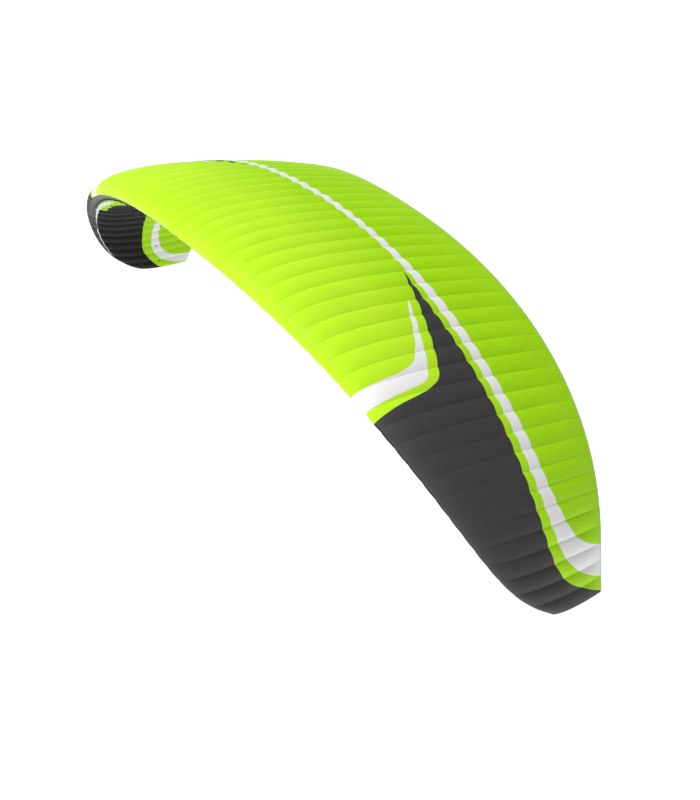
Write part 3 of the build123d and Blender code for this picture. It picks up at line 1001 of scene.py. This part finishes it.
piece = trailingTape("trailingTape_centre", -middle, middle)
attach(piece, "root")
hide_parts("trailing_tape")
for label, along, inward, depth in (
    ("noseLipTape", -math.sqrt(layout["intakeTop"]), -0.4, cellAir["depth"]),
    ("lowerLipTape", -math.sqrt(layout["intakeBottom"]), 1, cellAir["underDepth"]),
):
    piece = lipTape(label, -fold, fold, along, inward, depth)
    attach(piece, "root")
    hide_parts("intake_tape")
for side, sideName in sides.items():
    low, high = sorted((side * fold, side * wing["cellsPerSide"]))
    piece = trailingTape("trailingTape_tip_" + sideName, low, high)
    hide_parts("trailing_tape_tip_" + sideName)
    foldOver(piece, side)
print("edges taped")

# ---- sewn eyes for the brake lines, and battens in the wing tips

eyeCut = {
    "place": 0.996,
    "radius": 0.005,
    "wall": 0.0018,
    "width": 0.012,
    "drop": 0.016,
    "mouth": 0.35,  # half the angle left open at the top
    "tabHalf": 0.0002,
    "around": 20,
}


def brakeEye(rib):
    # webbing folded round the eye, its two ends pressed together into a tab
    place, back, normal, across, chord = [part[0] for part in ribAxes(np.array([float(rib)]))]
    x, y, _, _ = section(-math.sqrt(eyeCut["place"]), chord)
    centre = place + back * x + normal * (y - eyeCut["drop"])
    outer, inner = eyeCut["radius"] + eyeCut["wall"], eyeCut["radius"]
    openTurn = 0.5 * math.pi + eyeCut["mouth"]
    turn = np.linspace(openTurn, openTurn + 2 * (math.pi - eyeCut["mouth"]), eyeCut["around"])
    path = []
    for radius in (outer, inner):
        ring = [centre + across * radius * math.cos(t) + normal * radius * math.sin(t) for t in turn]
        reach = radius - inner + eyeCut["tabHalf"]
        lead = [centre + across * reach * s + normal * eyeCut["drop"] for s in (1, -1)]
        first = lead[0] if math.cos(turn[0]) > 0 else lead[1]
        last = lead[1] if first is lead[0] else lead[0]
        path.append([first, *ring, last])
    rings = []
    for outside, inside in zip(*path):
        half = back * eyeCut["width"] / 2
        rings.append([outside - half, outside + half, inside + half, inside - half])
    return rings


def joined(name, pieces):
    # one mesh out of several
    work = bmesh.new()
    for other in pieces:
        work.from_mesh(other.data)
    mesh = bpy.data.meshes.new(name)
    work.to_mesh(mesh)
    work.free()
    mesh.materials.append(pieces[0].data.materials[0])
    for other in pieces:
        bpy.data.objects.remove(other)
    piece = bpy.data.objects.new(name, mesh)
    bpy.context.scene.collection.objects.link(piece)
    return piece


for side, sideName in sides.items():
    for number in range(1, layout["flapCount"] + 1):
        begin = layout["flapFirst"] + layout["flapCells"] * (number - 1)
        low, high = sorted((side * begin, side * (begin + layout["flapCells"])))
        body = f"flap_{sideName}_{number}"
        piece = trailingTape(f"trailingTape_{sideName}_{number}", low, high)
        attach(piece, body)
        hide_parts(body + "_tape")
        eye = stripMesh(f"brakeEye_{sideName}_{number}", brakeEye((low + high) // 2), loopMaterial)
        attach(eye, body)
        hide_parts(body + "_tape")

battenCut = {
    "from": 0.012,
    "to": 0.13,
    "inset": 0.0055,
    "width": 0.004,
    "sheet": 0.0025,
    "beside": 0.0012,
    "steps": 30,
}


def battenRings(rib):
    place, back, normal, along, chord = [part[0] for part in ribAxes(np.array([float(rib)]))]
    runs = np.linspace(-math.sqrt(battenCut["from"]), math.sqrt(battenCut["to"]), battenCut["steps"])
    inboard = -1 if rib > 0 else 1
    near, far = battenCut["beside"], battenCut["beside"] + battenCut["sheet"]
    outer, inner = battenCut["inset"], battenCut["inset"] + battenCut["width"]
    rings = []
    for inset, beside in ((outer, near), (inner, near), (inner, far), (outer, far)):
        x, y, _, _ = section(runs, chord, inset)
        rings.append(place + back * x[:, None] + normal * y[:, None] + along * beside * inboard)
    return np.stack(rings, 1)


for side, sideName in sides.items():
    strips = [
        stripMesh(f"battenPart{rib}", battenRings(side * rib), battenMaterial)
        for rib in range(fold + 1, wing["cellsPerSide"])
    ]
    piece = joined("noseBattens_tip_" + sideName, strips)
    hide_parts("nose_battens_tip_" + sideName)
    foldOver(piece, side)


# ---- the cloth that closes each wing tip, slightly bulged by the air

endCut = {
    "bulge": 0.035,
    "rows": 8,
    "steps": 60,
    "thickness": 0.0009,
    "rear": 0.9995,
    "flatDepth": 1.2,  # the cut size beside the tip section's depth and chord
    "flatLength": 1.03,
}


def endPanel(name, side):
    rib = side * wing["cellsPerSide"]
    place, back, normal, along, chord = [part[0] for part in ribAxes(np.array([float(rib)]))]
    runs = np.linspace(0, math.sqrt(endCut["rear"]), endCut["steps"] + 1)
    x, y, _, _ = section(runs, chord)
    levels = np.linspace(-1, 1, 2 * endCut["rows"] + 1)
    grid = np.zeros((len(runs), len(levels), 3))
    for k, level in enumerate(levels):
        swell = endCut["bulge"] * (1 - level**2) * np.sin(math.pi * np.clip(runs, 0, 1) ** 1.2) ** 0.8
        flatPlace = place + back * x[:, None] + normal * (y * level)[:, None]
        grid[:, k] = flatPlace + along * side * swell[:, None]
    inner = grid - along * side * endCut["thickness"]
    outerCount = grid.shape[0] * grid.shape[1]
    index = np.arange(outerCount).reshape(grid.shape[:2])
    quads = np.stack([index[:-1, :-1], index[1:, :-1], index[1:, 1:], index[:-1, 1:]], -1).reshape(-1, 4)
    rim = np.concatenate([index[:, 0], index[-1, 1:], index[-2::-1, -1], index[0, -2:0:-1]])
    ringNext = np.roll(rim, -1)
    edges = np.stack([rim, rim + outerCount, ringNext + outerCount, ringNext], -1)
    faces = np.concatenate([quads, quads[:, ::-1] + outerCount, edges])
    mesh = bpy.data.meshes.new(name)
    vertices = np.concatenate([grid.reshape(-1, 3), inner.reshape(-1, 3)])
    mesh.from_pydata(vertices.tolist(), [], faces.tolist())
    mesh.update()
    work = bmesh.new()
    work.from_mesh(mesh)
    bmesh.ops.remove_doubles(work, verts=work.verts, dist=1e-5)
    bmesh.ops.recalc_face_normals(work, faces=work.faces)
    work.to_mesh(mesh)
    work.free()
    layer = mesh.uv_layers.new(name="panel")
    flatLayer = mesh.uv_layers.new(name="cloth")
    for loop in mesh.loops:
        at = np.array(mesh.vertices[loop.vertex_index].co) - place
        layer.data[loop.index].uv = (rib - side * 0.5, float(at @ back / chord))
        flatLayer.data[loop.index].uv = (float(at @ normal), float(at @ back))
    shadeSmooth(mesh)
    piece = newPiece(name, mesh, upperCloth)
    depth = 2 * float(y.max())
    return piece, (depth * endCut["flatDepth"], float(chord) * endCut["flatLength"])


for side, sideName in sides.items():
    piece, flat = endPanel("endPanel_" + sideName, side)
    area = sum(polygon.area for polygon in piece.data.polygons) / 2
    sheetSizes[piece.name] = (round(flat[0], 2), round(flat[1], 2), round(area, 2))
    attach(piece, "ear_" + sideName)
    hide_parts("end_panel_" + sideName)
print("wing tips closed")

# ---- finishes on the frame's own pieces

nodeFinish = {
    "diagonal_ribs": ribMaterial,
    "cross_straps": strapMaterial,
    "nose_battens": battenMaterial,
    "a_line_loops": loopMaterial,
    "b_line_loops": loopMaterial,
    "c_line_loops": loopMaterial,
    "line_loops_tip_left": loopMaterial,
    "line_loops_tip_right": loopMaterial,
}
for node, material in nodeFinish.items():
    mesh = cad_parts[node].data
    for number in range(len(mesh.materials)):
        mesh.materials[number] = material

# ---- floor, light and camera

stageSet = {
    "floorDrop": 7.5,
    "floorSize": 1600.0,
    "floorColour": (0.86, 0.86, 0.86),
    "floorPale": (0.90, 0.90, 0.90),
    "glow": 0.74,
    "roomColour": (1.0, 1.0, 1.0, 1),
    "roomStrength": 0.34,
}


def pearlFloor():
    shader = Shader("paleFloor")
    place = shader.node("ShaderNodeTexCoord")["Object"]
    grain = shader.node("ShaderNodeTexNoise", None, {"Vector": place, "Scale": 0.6, "Detail": 3.0})["Fac"]
    colour = shader.mix(grain, stageSet["floorColour"], stageSet["floorPale"])
    fixed = {"Emission Color": (1, 1, 1, 1), "Emission Strength": stageSet["glow"]}
    return shader.finish(colour, 0.9 + 0.05 * grain, fixed=fixed)


floorMesh = bpy.data.meshes.new("floor")
edge, floorHeight = stageSet["floorSize"] / 2, -stageSet["floorDrop"]
floorCorners = [(x * edge, y * edge, floorHeight) for x, y in ((-1, -1), (1, -1), (1, 1), (-1, 1))]
floorMesh.from_pydata(floorCorners, [], [(0, 1, 2, 3)])
floor = newPiece("floor", floorMesh, pearlFloor())

world = bpy.data.worlds.new("studio")
bpy.context.scene.world = world
world.use_nodes = True
background = world.node_tree.nodes["Background"]
background.inputs["Color"].default_value = stageSet["roomColour"]
background.inputs["Strength"].default_value = stageSet["roomStrength"]
bpy.context.scene.view_settings.view_transform = "Standard"

lamps = {
    "keyLight": {"from": (-2.5, -6.0, 7.5), "spread": 16, "strength": 3.2},
}
for name, lamp in lamps.items():
    data = bpy.data.lights.new(name, "SUN")
    data.angle = math.radians(lamp["spread"])
    data.energy = lamp["strength"]
    light = bpy.data.objects.new(name, data)
    light.rotation_euler = Vector(lamp["from"]).to_track_quat("Z", "Y").to_euler()
    bpy.context.scene.collection.objects.link(light)

view = {
    "azimuth": 51.67,  # degrees round from the front towards the left tip
    "elevation": 29.47,
    "roll": 6.84,
    "distance": 19.2,
    "aim": (0.968, 1.434, -1.699),
    "lens": 75.36,
}
azimuth, elevation = math.radians(view["azimuth"]), math.radians(view["elevation"])
away = Vector((
    math.sin(azimuth) * math.cos(elevation), -math.cos(azimuth) * math.cos(elevation), math.sin(elevation)
))
camera = bpy.data.objects.new("camera", bpy.data.cameras.new("camera"))
camera.data.lens = view["lens"]
camera.data.sensor_width = 36.0
camera.data.clip_end = 3000.0
rollTurn = Matrix.Rotation(math.radians(view["roll"]), 3, "Z").to_quaternion()
turnedView = away.to_track_quat("Z", "Y") @ rollTurn
cameraPlace = Matrix.Translation(Vector(view["aim"]) + away * view["distance"])
camera.matrix_world = cameraPlace @ turnedView.to_matrix().to_4x4()
bpy.context.scene.collection.objects.link(camera)
bpy.context.scene.camera = camera
print("stage set")

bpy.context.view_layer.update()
for name, sizes in sheetSizes.items():
    print("sheet", name, sizes)
